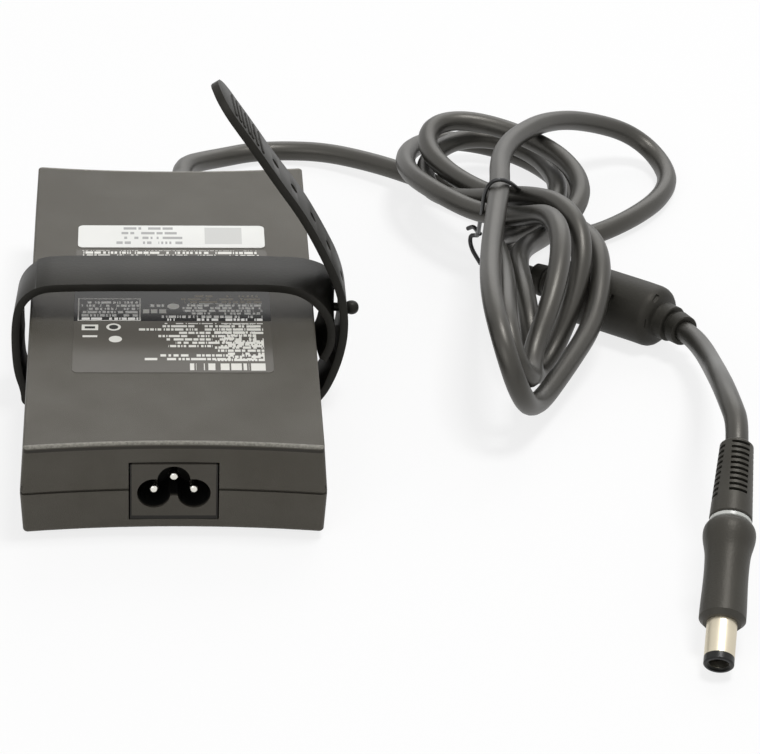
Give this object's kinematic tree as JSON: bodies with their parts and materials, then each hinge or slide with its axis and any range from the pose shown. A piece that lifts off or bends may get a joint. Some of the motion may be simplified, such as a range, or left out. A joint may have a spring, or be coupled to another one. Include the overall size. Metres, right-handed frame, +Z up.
{
  "type": "power adapter",
  "caption": "Flat laptop power adapter with a three-pin inlet, a rubber cable strap, and a fixed output cord tied in a hank, with a ferrite and a round barrel plug.",
  "frame": {"origin": "floor point under the middle of the case and its strap, the free cord and what is on it left out", "axes": "+Z up, +Y along the case from the inlet end to the cord end, +X to the side where the strap's tail rises"},
  "size_m": [0.192, 0.2848, 0.0933],
  "materials": {
    "shell_plastic": "fine spark-eroded texture",
    "inlet_plastic": "moulded, semi-matte",
    "contact_metal": "bright nickel plate",
    "board_green": "solder mask",
    "ceramic_white": "glazed tube",
    "film_yellow": "moulded box",
    "ferrite_black": "sintered ferrite",
    "copper_wire": "enamelled copper winding",
    "package_black": "moulded package",
    "sleeve_dark": "shrink sleeve",
    "sheet_aluminium": "rolled sheet",
    "tape_yellow": "wound tape",
    "film_clear": "insulating sheet",
    "lead_wire": "insulated stiff wire",
    "label_dark": "printed foil label",
    "label_white": "paper sticker",
    "strap_rubber": "soft moulded rubber",
    "cord_jacket": "smooth satin jacket",
    "moulded_cover": "moulded over the core",
    "plug_rubber": "moulded grip",
    "ring_light": "translucent light ring",
    "barrel_nickel": "nickel-plated barrel",
    "tip_black": "insulating tip",
    "tie_black": "plastic-coated wire"
  },
  "bodies": {
    "adapter": {"bottom_shell": "shell_plastic", "top_shell": "shell_plastic", "inlet_body": "inlet_plastic", "inlet_contacts": "contact_metal", "circuit_board": "board_green", "fuse": "ceramic_white", "x_capacitor": "film_yellow", "line_choke_core": "ferrite_black", "line_choke_coil": "copper_wire", "bridge_rectifier": "package_black", "boost_choke_core": "ferrite_black", "boost_choke_coil": "copper_wire", "bulk_capacitors": "sleeve_dark", "heat_sink_primary": "sheet_aluminium", "switching_transistors": "package_black", "transformer_core": "ferrite_black", "transformer_coil": "tape_yellow", "heat_sink_secondary": "sheet_aluminium", "output_rectifiers": "package_black", "output_capacitors": "sleeve_dark", "shield_top": "sheet_aluminium", "insulation_film": "film_clear", "shield_bottom": "sheet_aluminium", "inlet_leads": "lead_wire", "output_leads": "lead_wire", "rating_label": "label_dark", "white_sticker": "label_white", "cord_relief": "cord_jacket", "cord_lead": "cord_jacket", "cord_hank": "cord_jacket", "ferrite_cover": "moulded_cover", "ferrite_core": "ferrite_black", "cord_in_ferrite": "cord_jacket", "cord_loop": "cord_jacket", "cord_tail": "cord_jacket", "plug_relief": "plug_rubber", "plug_ring": "ring_light", "plug_body": "plug_rubber", "barrel": "barrel_nickel", "barrel_tip": "tip_black", "plug_contact": "contact_metal", "centre_pin": "contact_metal", "twist_tie": "tie_black"},
    "strap": {"cable_strap": "strap_rubber"}
  },
  "joints": [
    {"name": "strap_slide", "type": "slide", "parent": "adapter", "child": "strap", "axis": [0, 1, 0], "range_m": [-0.064, 0.07]}
  ]
}
